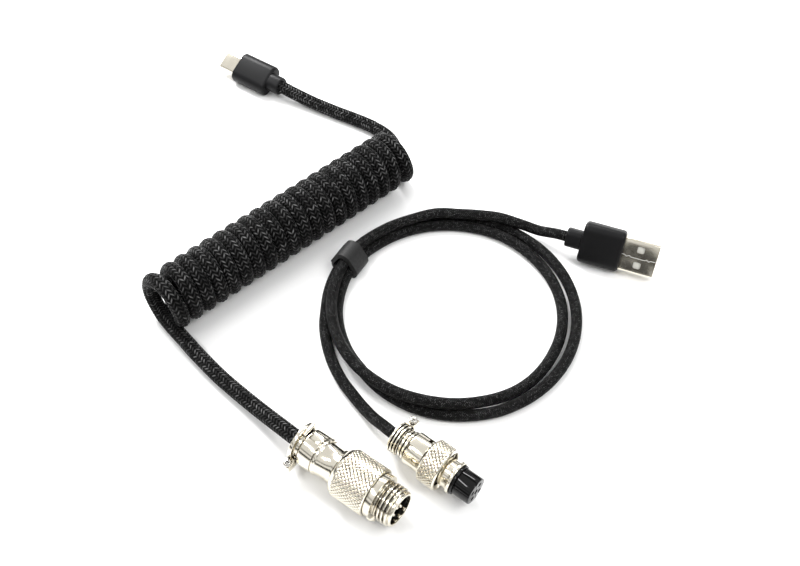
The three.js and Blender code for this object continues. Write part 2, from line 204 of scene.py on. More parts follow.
def braid(name, weave, dark, light, glint, rough, depth):
    """Interlaced yarns: columns of short strands that lean left and right by turns, with painted highlights
    on the crests of some of them.
    The piece's UVs give the turn round the cable and the metres along it."""
    n = Nodes(name)
    split = n.add("ShaderNodeSeparateXYZ")
    n.put(split.inputs[0], n.add("ShaderNodeTexCoord").outputs["UV"])
    column = n.math("MULTIPLY", split.outputs["X"], float(weave["columns"]))
    index = n.math("FLOOR", column)
    across = n.math("SUBTRACT", n.math("SUBTRACT", column, index), 0.5)
    lean = n.math("SUBTRACT", n.math("MULTIPLY", n.math("PINGPONG", index, 1.0), 2.0), 1.0)
    along = n.math("DIVIDE", split.outputs["Y"], weave["pitch"])
    phase = n.math("ADD", along, n.math("MULTIPLY", n.math("MULTIPLY", lean, across), BRAID_SLOPE))
    ridge = n.math("POWER", n.math("ABSOLUTE", n.math("COSINE", n.math("MULTIPLY", phase, math.pi))), 0.55)
    rim = n.math("POWER", n.math("COSINE", n.math("MULTIPLY", across, math.pi)), 0.45)
    strand = n.math("MULTIPLY", ridge, rim)
    threads = n.math("ABSOLUTE", n.math("SINE", n.math("MULTIPLY", phase, math.pi * 4)))
    height = n.math("ADD", strand, n.math("MULTIPLY", threads, 0.18))
    yarn = n.add("ShaderNodeCombineXYZ")
    n.put(yarn.inputs["X"], index)
    n.put(yarn.inputs["Y"], n.math("FLOOR", n.math("ADD", phase, 0.5)))
    chance = n.add("ShaderNodeTexWhiteNoise", noise_dimensions="2D")
    n.put(chance.inputs["Vector"], yarn.outputs[0])
    lucky = n.math("ADD", n.math("POWER", chance.outputs["Value"], 2.4), 0.12)
    streak = n.math("MULTIPLY", n.math("POWER", ridge, 12.0), n.math("POWER", rim, 1.5))
    crest = n.math("MULTIPLY", streak, n.math("ADD", threads, 0.3))
    # painted highlight: bright streaks added into the base colour along the crests of some strands, standing
    # in for glints
    painted_glint = n.math("MULTIPLY", n.math("MULTIPLY", crest, lucky), glint)
    # the strands are paler at their crowns than in the gaps between them
    body = n.math("ADD", n.math("MULTIPLY", n.math("POWER", strand, 2.0), light - dark), dark)
    n.put(n.shader.inputs["Base Color"], n.math("ADD", body, painted_glint))
    n.put(n.shader.inputs["Roughness"], n.ramp(n.noise(900, 2), [(0.3, rough * 0.75), (0.7, rough)]))
    n.put(n.shader.inputs["Specular IOR Level"], 0.035)
    n.bump(height, depth, 1.0)
    return n.material


# ---- meshes --------------------------------------------------------------------------------------------


def face_outward(mesh):
    bm = bmesh.new()
    bm.from_mesh(mesh)
    bmesh.ops.recalc_face_normals(bm, faces=bm.faces)
    bm.to_mesh(mesh)
    bm.free()


def mesh_object(name, vertices, faces, material, smooth=35):
    """A piece from points in metres, smooth but for edges sharper than so many degrees."""
    mesh = bpy.data.meshes.new(name)
    mesh.from_pydata([tuple(v) for v in vertices], [], faces)
    mesh.validate()
    mesh.shade_smooth()
    if smooth:
        mesh.set_sharp_from_angle(angle=math.radians(smooth))
    mesh.materials.append(material)
    piece = bpy.data.objects.new(name, mesh)
    bpy.context.collection.objects.link(piece)
    return piece


def smooth_line(points, step):
    """Points every step along the curve through the given points."""
    p = np.array(points, float)
    p = np.vstack([2 * p[0] - p[1], p, 2 * p[-1] - p[-2]])
    out = []
    for i in range(1, len(p) - 2):
        a, b, c, d = p[i - 1], p[i], p[i + 1], p[i + 2]
        t0 = 0.0
        t1 = t0 + math.sqrt(np.linalg.norm(b - a))
        t2 = t1 + math.sqrt(np.linalg.norm(c - b))
        t3 = t2 + math.sqrt(np.linalg.norm(d - c))
        count = max(4, int(np.linalg.norm(c - b) / step * 3))
        t = np.linspace(t1, t2, count, endpoint=False)[:, None]
        a1 = (t1 - t) / (t1 - t0) * a + (t - t0) / (t1 - t0) * b
        a2 = (t2 - t) / (t2 - t1) * b + (t - t1) / (t2 - t1) * c
        a3 = (t3 - t) / (t3 - t2) * c + (t - t2) / (t3 - t2) * d
        b1 = (t2 - t) / (t2 - t0) * a1 + (t - t0) / (t2 - t0) * a2
        b2 = (t3 - t) / (t3 - t1) * a2 + (t - t1) / (t3 - t1) * a3
        out.append((t2 - t) / (t2 - t1) * b1 + (t - t1) / (t2 - t1) * b2)
    out.append(p[-2][None])
    q = np.vstack(out)
    along = np.concatenate([[0], np.cumsum(np.linalg.norm(np.diff(q, axis=0), axis=1))])
    even = np.linspace(0, along[-1], int(along[-1] / step) + 1)
    return np.stack([np.interp(even, along, q[:, k]) for k in range(3)], axis=1), even


def travelling_axes(line):
    """Two directions across the line at each point, which never twist about it."""
    tangent = np.gradient(line, axis=0)
    tangent /= np.linalg.norm(tangent, axis=1)[:, None]
    side = np.zeros_like(line)
    side[0] = np.cross(tangent[0], (0, 0, 1))
    side[0] /= np.linalg.norm(side[0])
    for i in range(1, len(line)):
        v = side[i - 1] - tangent[i] * np.dot(side[i - 1], tangent[i])
        side[i] = v / np.linalg.norm(v)
    return side, np.cross(tangent, side)


def braided_tube(name, line, along, diameter, weave, material):
    """A cable whose skin really rises and falls with its braid. The line is in metres."""
    sides, rise = weave["sides"], weave["rise"]
    side, up = travelling_axes(line)
    u = np.arange(sides) / sides
    column = u * weave["columns"]
    index = np.floor(column)
    across = column - index - 0.5
    lean = np.where(index % 2 == 0, -1.0, 1.0)
    phase = along[:, None] / weave["pitch"] + (lean * across)[None] * BRAID_SLOPE
    strand = np.abs(np.cos(np.pi * phase)) ** 0.55 * (np.cos(np.pi * across) ** 0.45)[None]
    radius = diameter / 2 - rise + rise * strand
    angle = 2 * np.pi * u
    points = (line[:, None] + side[:, None] * (radius * np.cos(angle))[..., None]
              + up[:, None] * (radius * np.sin(angle))[..., None]).reshape(-1, 3)
    rings = len(line)
    i = np.arange(rings - 1)[:, None] * sides
    j = np.arange(sides)[None]
    after = (j + 1) % sides
    quads = np.stack([i + j, i + after, i + sides + after, i + sides + j], axis=-1).reshape(-1, 4)
    caps = [list(range(sides))[::-1], list(range((rings - 1) * sides, rings * sides))]
    piece = mesh_object(name, points, quads.tolist() + caps, material, smooth=0)
    uv = piece.data.uv_layers.new(name="around_and_along")
    u0, u1 = np.broadcast_to(u, (rings - 1, sides)), np.broadcast_to(u + 1 / sides, (rings - 1, sides))
    v0, v1 = np.broadcast_to(along[:-1, None], u0.shape), np.broadcast_to(along[1:, None], u0.shape)
    corners = np.stack([u0, v0, u1, v0, u1, v1, u0, v1], axis=-1).reshape(-1)
    ends = np.zeros(4 * sides)
    uv.data.foreach_set("uv", np.concatenate([corners, ends]).astype(np.float32))
    return piece


# ---- the two cables ------------------------------------------------------------------------------------

SOCKET_LEAD = [
    (-27.0, -68.7, 7.7), (-30.6, -66.0, 7.5), (-36.0, -61.0, 6.2), (-42.0, -55.2, 4.3), (-49.0, -48.6, 3.0),
    (-57.0, -41.2, 2.65), (-64.0, -34.0, 2.65), (-70.4, -26.8, 2.65),
]
USB_C_LEAD = [
    (-50.6, 101.0, 4.95), (-48.3, 99.4, 4.95), (-44.0, 96.8, 4.3), (-36.5, 92.6, 3.2), (-27.1, 87.3, 2.7),
    (-18.5, 82.6, 2.65), (-10.5, 77.6, 2.65), (-4.4, 71.6, 2.65), (-1.6, 64.5, 2.65),
]
PLUG_LEAD = [
    (1.2, -66.5, 6.9), (-1.5, -64.3, 6.9), (-4.6, -60.9, 5.9), (-8.4, -56.2, 3.6), (-12.0, -51.2, 2.2),
    (-15.4, -46.4, 2.0),
]
USB_A_LEAD = [
    (60.7, 14.5, 7.35), (58.4, 15.4, 7.35), (55.4, 17.0, 6.8), (52.2, 18.9, 5.6), (49.6, 20.7, 4.5),
]

COIL_LEAN = 1.5  # how far each turn swings along the axis, so that its near half stands square to it
COIL_LEAN_AT = math.radians(32)
COIL_ENDS = (1.0, 1.0)  # how far the first turn's top and the last quarter turn open towards their leads


def ease(t):
    t = min(1.0, max(0.0, t))
    return t * t * (3 - 2 * t)


def coil_turns():
    """The helix, from the floor round the far side, over the top and down the near side."""
    a = math.radians(COIL["angle"])
    along, far = np.array((math.cos(a), math.sin(a), 0)), np.array((-math.sin(a), math.cos(a), 0))
    up = np.array((0, 0, 1.0))
    first = np.array((*COIL["start"], COIL["radius"] + COIL["cable"] / 2))
    per_turn = 24
    count = COIL["turns"] * per_turn
    points, places = [], []
    for i in range(count + 1):
        turn = i / per_turn
        angle = 2 * math.pi * turn - math.pi / 2
        fade = ease(turn) * ease(COIL["turns"] - turn)
        s = COIL["length"] * turn / COIL["turns"] + fade * COIL_LEAN * math.cos(angle - COIL_LEAN_AT)
        if turn < 1:
            s -= COIL_ENDS[0] * math.sin(math.pi * turn) ** 2
        s += COIL_ENDS[1] * (1 - ease((COIL["turns"] - turn) * 3))
        out = COIL["radius"] * (far * math.cos(angle) + up * math.sin(angle))
        points.append(tuple(first + along * s + out))
        places.append(s)
    return points, along, first


def to_frame(points):
    return np.array([tuple(spot(*p)) for p in points])


ON_TOP = 5.35  # the height of a strand that lies on the two others


def loop_turns():
    """Clockwise seen from above: the outer strand, then the inner one, then a part turn on top of both."""
    cx, cy = LOOP["centre"]
    floor = LOOP["cable"] / 2
    outer, inner, upper = LOOP["outer"], LOOP["inner"], LOOP["upper"]
    radii = [(220, 46.0), (212, 45.1), (205, 44.0), (197, 43.6), (182, outer), (-70, outer), (-90, 41.7),
             (-105, 41.1), (-120, 40.1), (-140, 38.5), (-160, inner), (-300, inner), (-325, inner - 0.7),
             (-390, inner - 0.7), (-420, inner), (-440, 38.8), (-460, 39.5), (-480, upper - 0.2),
             (-610, upper)]
    heights = [(220, floor), (-415, floor), (-440, 4.0), (-460, 5.35), (-475, 5.85), (-490, 5.8),
               (-505, ON_TOP), (-610, ON_TOP)]

    def at(table, angle):
        return np.interp(-angle, [-a for a, _ in table], [v for _, v in table])

    points = []
    for angle in range(220, -611, -10):
        r, z = at(radii, angle), at(heights, angle)
        off = (angle - STRAP["angle"] + 180) % 360 - 180
        z += STRAP_LIFT * math.exp(-((off / 13) ** 2))
        a = math.radians(angle)
        points.append((cx + r * math.cos(a), cy + r * math.sin(a), z))
    return points


OVER_THE_LOOP = [
    (13.1, 28.0, 5.65), (21.7, 27.7, 5.65), (29.7, 26.8, 5.85), (36.0, 25.7, 5.8), (43.5, 23.2, 5.0),
]


def cables():
    turns, along, first = coil_turns()
    cable = COIL["cable"] * MM
    line, run = smooth_line(to_frame([*SOCKET_LEAD, *turns, *USB_C_LEAD[::-1]]), COIL_BRAID["step"])
    coiled = braided_tube("coiled_cable_braid", line, run, cable, COIL_BRAID, MATERIAL["coil_braid"])
    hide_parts("coil", "coil_lead_at_socket", "coil_lead_at_usb_c")
    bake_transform(coiled)

    cable = LOOP["cable"] * MM
    route = [*PLUG_LEAD, *loop_turns(), *OVER_THE_LOOP, *USB_A_LEAD[::-1]]
    line, run = smooth_line(to_frame(route), LOOP_BRAID["step"])
    straight = braided_tube("straight_cable_braid", line, run, cable, LOOP_BRAID, MATERIAL["loop_braid"])
    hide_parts("loop", "loop_lead_at_plug", "loop_lead_at_usb_a")
    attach(straight, "straight_cable")


MATERIAL = {}


def materials():
    MATERIAL["nickel"] = metal("nickel", (0.86, 0.81, 0.69), 0.13)
    MATERIAL["steel"] = metal("steel", (0.66, 0.64, 0.60), 0.22)
    MATERIAL["gold"] = metal("gold", (0.86, 0.66, 0.34), 0.2)
    MATERIAL["black_plastic"] = plastic("black_plastic", (0.006, 0.006, 0.0065), 0.4, painted_glint=0.14)
    MATERIAL["white_plastic"] = plastic("white_plastic", (0.66, 0.65, 0.60), 0.4)
    MATERIAL["gloss_plastic"] = plastic("gloss_plastic", (0.002, 0.002, 0.002), 0.07, grain=0.000002,
                                        scale=900, painted_glint=0.3)
    MATERIAL["coil_braid"] = braid("coil_braid", COIL_BRAID, 0.0004, 0.0035, 0.19, 0.42, 0.00028)
    MATERIAL["loop_braid"] = braid("loop_braid", LOOP_BRAID, 0.0005, 0.0035, 0.11, 0.5, 0.00010)
    MATERIAL["strap_cloth"] = plastic("strap_cloth", (0.012, 0.012, 0.012), 0.6, grain=0.00012, scale=1500,
                                      painted_glint=0.3)
    MATERIAL["circuit_board"] = plastic("circuit_board", (0.03, 0.16, 0.07), 0.3)


def dress_nodes():
    """The frame's own pieces take the same materials."""
    slots = {s["node"]: s["material_slot"] for s in frame["record"]["subparts"]}
    for name, node in frame["nodes"].items():
        node.data.materials.clear()
        node.data.materials.append(MATERIAL[slots[name]])


# ---- solid shapes, in millimetres, along +Y --------------------------------------------------------------
# A shape is (points, faces). Every plug is built from y = 0 at its cable to its mating end, and laid down
# last.


def loft(rings, closed=False):
    """Skins rings of equally many points, and closes on itself or with two flat ends."""
    rings = np.array(rings, float)
    count, around = rings.shape[:2]
    faces = []
    for i in range(count if closed else count - 1):
        a, b = i * around, ((i + 1) % count) * around
        faces += [(a + j, a + (j + 1) % around, b + (j + 1) % around, b + j) for j in range(around)]
    if not closed:
        faces += [tuple(range(around))[::-1], tuple(range((count - 1) * around, count * around))]
    return rings.reshape(-1, 3), faces


def softened(outline, size, closed):
    """The outline with each sharp corner turned into a small arc."""
    out = []
    count = len(outline)
    for i, corner in enumerate(outline):
        if not closed and i in (0, count - 1):
            out.append(tuple(corner))
            continue
        here = np.array(corner, float)
        before, after = np.array(outline[i - 1], float), np.array(outline[(i + 1) % count], float)
        d0, d1 = before - here, after - here
        l0, l1 = np.linalg.norm(d0), np.linalg.norm(d1)
        cut = min(size, 0.45 * l0, 0.45 * l1)
        if cut < 0.01 or np.dot(d0, d1) / (l0 * l1) < -0.97:
            out.append(tuple(here))
            continue
        p0, p1 = here + d0 / l0 * cut, here + d1 / l1 * cut
        for t in (0, 0.33, 0.67, 1):
            out.append(tuple((1 - t) ** 2 * p0 + 2 * t * (1 - t) * here + t * t * p1))
    return out


def turned(outline, closed=True, soft=0.12, sides=96, shift=None):
    """A turned shape about +Y from its (radius, y) outline. shift(angle, y) moves the radius in or out."""
    outline = softened(outline, soft, closed) if soft else outline
    a = np.arange(sides) * 2 * np.pi / sides
    rings = []
    for r, y in outline:
        radius = np.full(sides, max(float(r), 0.001))
        if shift:
            radius = radius + shift(a, y, r)
        rings.append(np.stack([radius * np.cos(a), np.full(sides, y), radius * np.sin(a)], axis=1))
    return loft(rings, closed)


def rod(radius, y0, y1, sides=24, soft=0.0):
    return turned([(0, y0), (radius, y0), (radius, y1), (0, y1)], False, soft, sides)


def rounded_section(width, height, corner, per_corner=8):
    w, h = width / 2, height / 2
    r = min(corner, w - 0.001, h - 0.001)
    out = []
    for k, (x, z) in enumerate([(w - r, h - r), (r - w, h - r), (r - w, r - h), (w - r, r - h)]):
        for i in range(per_corner + 1):
            a = math.pi / 2 * (k + i / per_corner)
            out.append((x + r * math.cos(a), z + r * math.sin(a)))
    return out


def bar(size, corner, stations, closed=False):
    """A rounded rectangle carried along +Y: at each (y, inset) station it is that much smaller all round."""
    rings = []
    for y, inset in stations:
        section = rounded_section(size[0] - 2 * inset, size[1] - 2 * inset, max(0.02, corner - inset))
        rings.append([(x, y, z) for x, z in section])
    return loft(rings, closed)


def rounded_ends(y0, y1, soft, steps=5):
    """Stations of a bar whose ends are rounded."""
    turns = [math.pi / 2 * i / steps for i in range(steps + 1)]
    first = [(y0 + soft * (1 - math.cos(a)), soft * (1 - math.sin(a))) for a in turns]
    last = [(y1 - (y - y0), inset) for y, inset in reversed(first)]
    return first + last


def block(size, middle, soft=0.12):
    x, y, z = size
    points, faces = bar((x, z), soft, rounded_ends(-y / 2, y / 2, soft, 2))
    return points + np.array(middle), faces


def moved(shape, matrix):
    points = np.array([tuple(matrix @ Vector(p)) for p in shape[0]])
    return points, shape[1]


def around_y(degrees):
    return Matrix.Rotation(math.radians(degrees), 4, "Y")


def upright(shape, x, y, z):
    """A shape along +Y stood along +Z, with its y = 0 at the given place."""
    return moved(shape, Matrix.Translation((x, y, z)) @ Matrix.Rotation(math.pi / 2, 4, "X"))


def joined(*shapes):
    points, faces, base = [], [], 0
    for p, f in shapes:
        points.append(np.array(p))
        faces += [tuple(v + base for v in face) for face in f]
        base += len(p)
    return np.vstack(points), faces


def scratch_object(shape):
    mesh = bpy.data.meshes.new("scratch")
    mesh.from_pydata([tuple(p) for p in shape[0]], [], shape[1])
    face_outward(mesh)
    piece = bpy.data.objects.new("scratch", mesh)
    bpy.context.collection.objects.link(piece)
    return piece


def carved(shape, *cutters, operation="DIFFERENCE"):
    """The shape with each cutter taken out of it, or added to it."""
    piece = scratch_object(shape)
    tools = [scratch_object(c) for c in cutters]
    for tool in tools:
        m = piece.modifiers.new("cut", "BOOLEAN")
        m.operation, m.object, m.solver = operation, tool, "EXACT"
    bpy.context.view_layer.update()
    mesh = bpy.data.meshes.new_from_object(piece.evaluated_get(bpy.context.evaluated_depsgraph_get()))
    points = np.array([tuple(v.co) for v in mesh.vertices])
    faces = [tuple(p.vertices) for p in mesh.polygons]
    for o in (piece, *tools):
        bpy.data.objects.remove(o)
    bpy.data.meshes.remove(mesh)
    return points, faces


def lay(place):
    """From a plug's own axes to the frame."""
    p = PLACE[place]
    turn = Matrix.Rotation(math.radians(p["heading"] - 90), 4, "Z") @ around_y(p["roll"])
    return Matrix.Translation(spot(*p["at"])) @ turn @ Matrix.Scale(MM, 4)


def piece(name, shape, slot, place, body, nodes=(), smooth=35):
    """A finished piece at its plug, riding on its body, in place of CAD nodes."""
    matrix = lay(place) if isinstance(place, str) else place
    points, faces = moved(shape, matrix)
    made = mesh_object(name, points, faces, MATERIAL[slot], smooth=0)
    face_outward(made.data)
    made.data.shade_smooth()
    made.data.set_sharp_from_angle(angle=math.radians(smooth))
    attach(made, body)
    if nodes:
        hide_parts(*nodes)
    return made


def frac(v):
    return v - np.floor(v)


def knurl(cells, pitch, y0, y1, depth):
    """Crossed grooves between flat-topped diamonds, deepest where they cross."""
    def shift(angle, y, r):
        if not y0 <= y <= y1:
            return np.zeros_like(angle)
        a, b = angle * cells / (2 * np.pi), (y - y0) / pitch
        rise = np.minimum(np.abs(2 * frac(a + b) - 1), np.abs(2 * frac(a - b) - 1))
        pit = (np.sin(np.pi * (a + b)) * np.sin(np.pi * (a - b))) ** 4
        fade = min(1.0, (y - y0) / 0.25, (y1 - y) / 0.25)
        return -depth * fade * np.maximum(0.5 * (1 - np.minimum(1, 2.2 * rise)), pit)
    return shift


def thread(pitch, y0, y1, depth):
    """A right-handed thread, faded out over its first and last half turn."""
    def shift(angle, y, r):
        if not y0 <= y <= y1:
            return np.zeros_like(angle)
        wave = np.clip(0.5 - 1.1 * np.cos(2 * np.pi * frac(y / pitch + angle / (2 * np.pi))), 0, 1)
        fade = min(1.0, (y - y0) / (0.4 * pitch), (y1 - y) / (0.4 * pitch))
        return depth * fade * wave
    return shift


def stretch(r, y0, y1, step):
    """Outline points at one radius, close enough together for a knurl or a thread."""
    count = max(1, round((y1 - y0) / step))
    return [(r, y0 + (y1 - y0) * i / count) for i in range(count + 1)]


def screw(x, y, z, length, radius=0.8, head=1.35):
    """A pan-head screw with a cross slot, its head up."""
    body = turned([(0, -length), (radius, -length), (radius, 0), (head, 0), (head, 0.45), (head * 0.75, 0.85),
                   (0, 1.0)], False, 0.1, 32)
    slots = [block(size, (0, 1.0, 0), 0.02) for size in ((head * 1.3, 0.8, 0.3), (0.3, 0.8, head * 1.3))]
    return upright(carved(body, *slots), x, y, z)


# ---- the round socket with pins --------------------------------------------------------------------------


def round_socket():
    body, place = "coiled_cable", "socket"
    hole = COIL["cable"] / 2 + GAP
    grip = turned([
        (5.2, 15.5), (6.3, 15.5), (7.0, 15.75), (7.45, 16.3), (7.62, 16.9), *stretch(7.75, 17.1, 28.0, 0.12),
        (7.6, 28.15), (7.35, 28.3), (5.2, 28.3),
    ], True, 0, 408, knurl(34, 1.43, 17.1, 28.0, 0.42))
    nose = turned([
        (4.75, 22.2), (5.1, 22.2), (5.1, 28.35), (7.0, 28.35), (7.0, 30.6), (5.7, 30.6), (5.7, 31.1),
        (5.45, 31.3), *stretch(5.45, 31.4, 36.3, 0.125), (5.6, 36.7), (5.35, 37.0), (4.75, 37.0),
        (4.75, 36.2),
    ], True, 0.1, 120, thread(1.25, 31.35, 36.35, 0.6))
    outwards = Matrix.Rotation(-math.pi / 2, 4, "X")
    tab = moved(rod(1.55, 6.1, 7.75, 32, 0.15), around_y(-38) @ Matrix.Translation((0, 29.7, 0)) @ outwards)
    keys = [moved(block((1.1, 1.6, 0.55), (0, 36.0, 4.5), 0.08), around_y(a)) for a in (155, 180, 212)]
    piece("socket_front", joined(grip, nose, tab, *keys), "nickel", place, body, ["socket_body"])
    cup = turned([
        (0, 25.2), (4.65, 25.2), (4.65, 36.1), (4.25, 36.1), (4.2, 28.4), (0, 28.4),
    ], False, 0.08, 64)
    collars = [moved(rod(0.95, 27.9, 28.75, 24, 0.08), Matrix.Translation((x, 0, z)))
               for x, z in contact_places()]
    piece("socket_pin_holder", joined(cup, *collars), "gloss_plastic", place, body, ["socket_insulator"])
    for i, (x, z) in enumerate(contact_places()):
        outline = [(0, 21.8), (0.62, 21.8), (0.62, 35.4), (0.5, 35.85), (0.25, 36.05), (0, 36.1)]
        pin = turned(outline, False, 0.1, 32)
        node = f"socket_pin_{i + 1}"
        piece(f"{node}_turned", moved(pin, Matrix.Translation((x, 0, z))), "nickel", place, body, [node])
    shell = turned([
        (3.2, 2.9), (5.7, 2.9), (6.0, 3.2), (6.0, 7.75), (5.75, 7.85), (5.72, 8.15), (6.05, 8.25),
        (6.05, 8.9), (5.75, 9.3), (5.45, 11.0), (5.4, 12.8), (5.65, 14.4), (5.9, 15.25), (4.8, 15.25),
        (4.8, 18.8), (3.2, 18.8),
    ], True, 0.1, 128)
    flat = block((5.2, 3.6, 2), (-2.4, 5.3, 6.35), 0.05)
    far_flat = moved(block((6.0, 5.0, 2), (0, 11.7, 6.05), 0.05), around_y(-50))
    piece("socket_back_shell", carved(shell, flat, far_flat), "nickel", place, body, ["socket_rear_shell"])
    outline = [(hole, 0), (6.55, 0), (6.55, 1.25), (5.3, 1.45), (5.3, 2.6), (hole, 2.6)]
    flange = turned(outline, True, 0.22, 96)
    slot = bar((4.4, 1.3), 0.64, [(-1, 0), (4, 0)])
    slot = moved(slot, around_y(20) @ Matrix.Translation((0, 0, 4.3)))
    notch = block((3.0, 1.2, 2.2), (-2.2, 2.2, 5.6), 0.05)
    lug = block((3.8, 2.6, 3.0), (7.2, 1.35, -2.1), 0.5)
    saddle = block((4.6, 1.3, 1.7), (-2.0, 1.8, 5.1), 0.3)
    flange = carved(flange, slot, notch)
    lug = carved(lug, upright(rod(0.95, -6, 6), 7.9, 1.3, 0))
    piece("socket_cable_clamp", joined(flange, lug, saddle), "nickel", place, body, ["socket_clamp"])
    piece("socket_lug_screw", screw(7.9, 1.3, -0.2, 4.4), "steel", place, body, ["socket_clamp_screw"])


def contact_places():
    return [(0.0, 0.0)] + [(2.4 * math.cos(a), 2.4 * math.sin(a))
                           for a in (math.pi / 4 + math.pi / 2 * i for i in range(4))]


# ---- the round plug with its coupling nut ---------------------------------------------------------------


def round_plug():
    body, place = "straight_cable", "plug"
    hole = LOOP["cable"] / 2 + GAP

    def teeth(angle, y, r):
        low = (np.sin(angle) < 0.35) & (np.sin(9 * angle) < -0.2)
        return np.where(low & (r > 4.0) & (0.2 < y < 3.2), -0.75, 0.0)

    ribs = [(hole, 0), (4.5, 0), (4.85, 0.25)]
    for k in range(3):
        y = 0.3 + k
        ribs += [(4.9, y), (4.95, y + 0.5), (4.2, y + 0.6), (4.2, y + 0.95)]
    ribs += [(4.5, 3.3), (4.3, 3.5), (hole, 3.5)]
    clamp = turned(ribs, True, 0.08, 216, teeth)
    lug = carved(block((3.2, 3.2, 2.2), (-5.8, 1.75, 1.3), 0.4), upright(rod(0.85, -6, 6), -6.1, 1.75, 0))
    piece("plug_cable_clamp", joined(clamp, lug), "nickel", place, body, ["plug_clamp"])
    screwed = screw(-6.1, 1.75, 2.6, 3.4, 0.7, 1.25)
    piece("plug_lug_screw", screwed, "steel", place, body, ["plug_clamp_screw"])
    shell = turned([
        (2.4, 3.8), (4.4, 3.8), (4.4, 4.6), (3.9, 4.7), (3.9, 5.0), (4.7, 5.1), (4.7, 5.9), (4.1, 6.0),
        (4.1, 6.3), (5.3, 6.4), (5.3, 12.0), (3.6, 12.0), (3.6, 14.4), (2.4, 14.4),
    ], True, 0.14, 128)
    near = moved(block((2.6, 1.1, 2.4), (0, 10.9, 5.0), 0.05), around_y(-40))
    low = moved(block((1.6, 1.5, 2.4), (0, 7.0, 5.0), 0.05), around_y(28))
    piece("plug_back_shell", carved(shell, near, low), "nickel", place, body, ["plug_rear_shell"])
    piece("plug_front_sleeve", turned([
        (3.9, 12.3), (4.5, 12.3), (4.5, 21.6), (5.1, 21.8), (5.25, 22.0), (5.25, 22.7), (5.1, 22.9),
        (3.9, 22.9),
    ], True, 0.12, 128), "nickel", place, body, ["plug_sleeve"])
    piece("plug_seal", turned([(3.9, 23.0), (4.8, 23.0), (4.8, 23.8), (3.9, 23.8)], True, 0.25, 96),
          "gloss_plastic", place, body, ["plug_seal_ring"])
    outline = [(0, 15.0), (3.6, 15.0), (3.6, 23.85), (4.3, 23.85), (4.3, 29.5), (0, 29.5)]
    front = turned(outline, False, 0.3, 128)
    groove = block((1.1, 7.0, 1.0), (0, 27.5, 4.35), 0.05)
    side = moved(block((0.35, 7.0, 0.5), (0, 27.0, 4.3), 0.02), around_y(62))
    holes = [moved(rod(0.78, 26, 31, 32), Matrix.Translation((x, 0, z))) for x, z in contact_places()]
    cross = [moved(block((8, 0.7, 0.25), (0, 29.4, 0), 0.02), around_y(a)) for a in (0, 90)]
    piece("plug_contact_holder", carved(front, groove, side, *holes, *cross), "gloss_plastic", place, body,
          ["plug_insulator"])
    inner = thread(1.25, 15.0, 18.6, -0.5)
    outer = knurl(30, 1.43, 12.95, 18.45, 0.4)

    def both(angle, y, r):
        return outer(angle, y, r) if r > 6.5 else inner(angle, y, r) if r > 5.9 else np.zeros_like(angle)

    nut = turned([
        (5.5, 12.6), (6.6, 12.6), (6.85, 12.85), *stretch(6.9, 12.95, 18.45, 0.12), (6.8, 18.6), (6.6, 18.8),
        (6.1, 18.8), *stretch(6.0, 15.0, 18.6, 0.12)[::-1], (5.5, 14.9),
    ], True, 0, 360, both)
    piece("knurled_nut", nut, "nickel", place, "nut", ["coupling_nut"])


# ---- the USB plugs ---------------------------------------------------------------------------------------


def hollow(size, corner, wall, y0, y1, lip):
    """A drawn shell: outside from back to front over a rounded lip, and back along the inside."""
    out = [(y0, 0), (y1 - lip, 0), (y1 - lip * 0.4, lip * 0.15), (y1, lip * 0.5)]
    back = [(y1 - 0.02, wall - lip * 0.2), (y1 - lip, wall), (y0, wall)]
    return bar(size, corner, out + back, True)


def usb_c():
    body, place = "usb_c_end", "usb_c"
    front, tip = 22.5, 30.7
    shell = hollow((8.34, 2.56), 1.24, 0.3, 18.0, tip, 0.22)
    piece("usb_c_drawn_shell", shell, "nickel", place, body, ["usb_c_shell"])
    mouth = block((6.6, 9.6, 0.9), (0, tip - 4.8, 0), 0.05)
    tongue = carved(bar((7.4, 1.66), 0.8, [(19, 0), (tip - 0.6, 0)]), mouth)
    piece("usb_c_mouth", tongue, "black_plastic", place, body, ["usb_c_liner"])
    stations = rounded_ends(5.5, front, 1.1)
    shell = carved(bar((12.8, 6.8), 3.1, stations), bar((8.9, 3.1), 1.5, [(10, 0), (24, 0)]))
    collar = bar((9.7, 3.9), 1.9, rounded_ends(front - 0.6, front + 0.25, 0.2, 3))
    collar = carved(collar, bar((8.5, 2.7), 1.35, [(10, 0), (24, 0)]))
    piece("usb_c_overmould", joined(shell, collar), "black_plastic", place, body, ["usb_c_body"])
    neck = bar((7.2, 6.0), 2.7, [(0.0, 0.5), (0.1, 0.25), (0.4, 0.08), (0.8, 0.0), (5.6, -0.05)])
    neck = carved(neck, rod(COIL["cable"] / 2 + 0.02, -1, 0.9, 48))
    piece("usb_c_neck", neck, "black_plastic", place, body, ["usb_c_strain_relief"])


